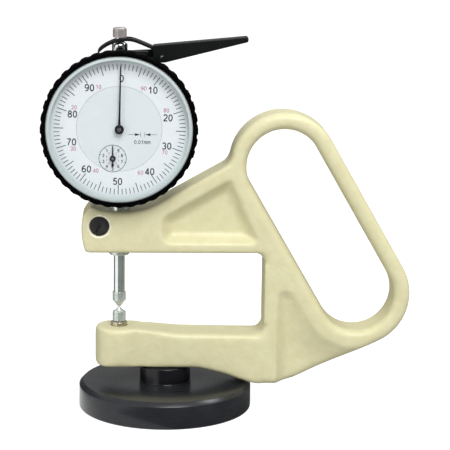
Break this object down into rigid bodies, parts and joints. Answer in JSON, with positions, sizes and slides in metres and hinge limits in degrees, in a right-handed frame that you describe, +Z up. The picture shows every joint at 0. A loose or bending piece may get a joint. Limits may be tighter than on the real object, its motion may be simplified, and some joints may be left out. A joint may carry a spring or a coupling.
{
  "type": "dial thickness gauge",
  "caption": "Bench thickness gauge: a dial indicator with a lifting lever clamped in a cast loop-handled frame over a fixed anvil on a round base.",
  "frame": {"origin": "on the measuring axis at the height of the table, on the underside of the base", "axes": "+Z up along the spindle, +X towards the handle, -Y towards the reader of the dial"},
  "size_m": [0.1441, 0.068, 0.1498],
  "materials": {
    "cream_paint": "cream hammertone paint on a casting",
    "black_oxide": "blackened turned steel",
    "black_bezel": "black gloss coating",
    "black_plastic": "moulded black plastic",
    "chrome": "bright plated",
    "brass": "bare brass",
    "satin_case": "satin plated case",
    "crystal": "clear flat crystal",
    "dial_white": "white printed dial",
    "hand_black": "black lacquered hands",
    "steel": "bare steel"
  },
  "bodies": {
    "stand": {"base_disc": "black_oxide", "base_collar": "black_oxide", "base_screw": "black_oxide", "frame": "cream_paint", "clamp_screw": "black_oxide", "anvil_bush": "brass", "anvil_tip": "chrome", "stem": "chrome", "lower_bush": "brass", "top_bush": "chrome", "case_body": "satin_case", "back_cover": "satin_case", "back_cover_screw_1": "steel", "back_cover_screw_2": "steel", "back_cover_screw_3": "steel", "back_cover_screw_4": "steel", "dial_centre": "dial_white", "rear_plate": "brass", "front_plate": "brass", "rear_plate_screw_1": "steel", "rear_plate_screw_2": "steel", "rear_plate_screw_3": "steel", "plate_pillar_1": "brass", "front_plate_screw_1": "steel", "plate_pillar_2": "brass", "front_plate_screw_2": "steel", "plate_pillar_3": "brass", "front_plate_screw_3": "steel", "plate_pillar_4": "brass", "front_plate_screw_4": "steel", "centre_bridge": "brass", "hairspring": "steel", "hairspring_stud": "steel", "return_spring": "steel", "spring_post": "steel", "guide_plate": "brass", "lever_bracket": "black_oxide", "lever_pin": "chrome"},
    "spindle": {"spindle": "steel", "spindle_cap": "chrome", "contact_tip": "chrome", "guide_pin": "steel"},
    "pointer": {"pointer": "hand_black", "centre_pinion": "steel"},
    "counter": {"counter_arbor": "steel", "rack_pinion": "steel", "counter_gear": "brass", "counter_hand": "hand_black"},
    "take_up": {"hairspring_wheel": "brass", "hairspring_arbor": "steel"},
    "lever": {"lever_paddle": "black_plastic", "lever_fork": "black_oxide"},
    "bezel": {"bezel": "black_bezel", "crystal": "crystal", "dial_ring": "dial_white"}
  },
  "joints": [
    {"name": "spindle_slide", "type": "slide", "parent": "stand", "child": "spindle", "axis": [0, 0, 1], "range_m": [0, 0.01], "stiffness_N_per_m": 40, "springref_m": -0.02, "deforming": ["return_spring"]},
    {"name": "pointer_spin", "type": "hinge", "parent": "stand", "child": "pointer", "pos_m": [0, 0, 0.11227], "axis": [0, 1, 0], "range_deg": [0, 3600.5]},
    {"name": "counter_spin", "type": "hinge", "parent": "stand", "child": "counter", "pos_m": [-0.00248, 0, 0.10092], "axis": [0, 1, 0], "range_deg": [-360.1, 0]},
    {"name": "take_up_spin", "type": "hinge", "parent": "stand", "child": "take_up", "pos_m": [-0.00402, 0, 0.12088], "axis": [0, 1, 0], "range_deg": [-450.1, 0]},
    {"name": "lever_lift", "type": "hinge", "parent": "stand", "child": "lever", "pos_m": [0.01608, 0, 0.13883], "axis": [0, 1, 0], "range_deg": [0, 35.7]},
    {"name": "bezel_turn", "type": "hinge", "parent": "stand", "child": "bezel", "pos_m": [0, 0, 0.11227], "axis": [0, 1, 0], "continuous": true}
  ],
  "couplings": [
    {"joint": "pointer_spin", "follows": "spindle_slide", "rad_per_m": 6283.2},
    {"joint": "counter_spin", "follows": "spindle_slide", "rad_per_m": -628.32},
    {"joint": "take_up_spin", "follows": "spindle_slide", "rad_per_m": -785.4},
    {"joint": "lever_lift", "follows": "spindle_slide", "rad_per_m": 62.189}
  ]
}
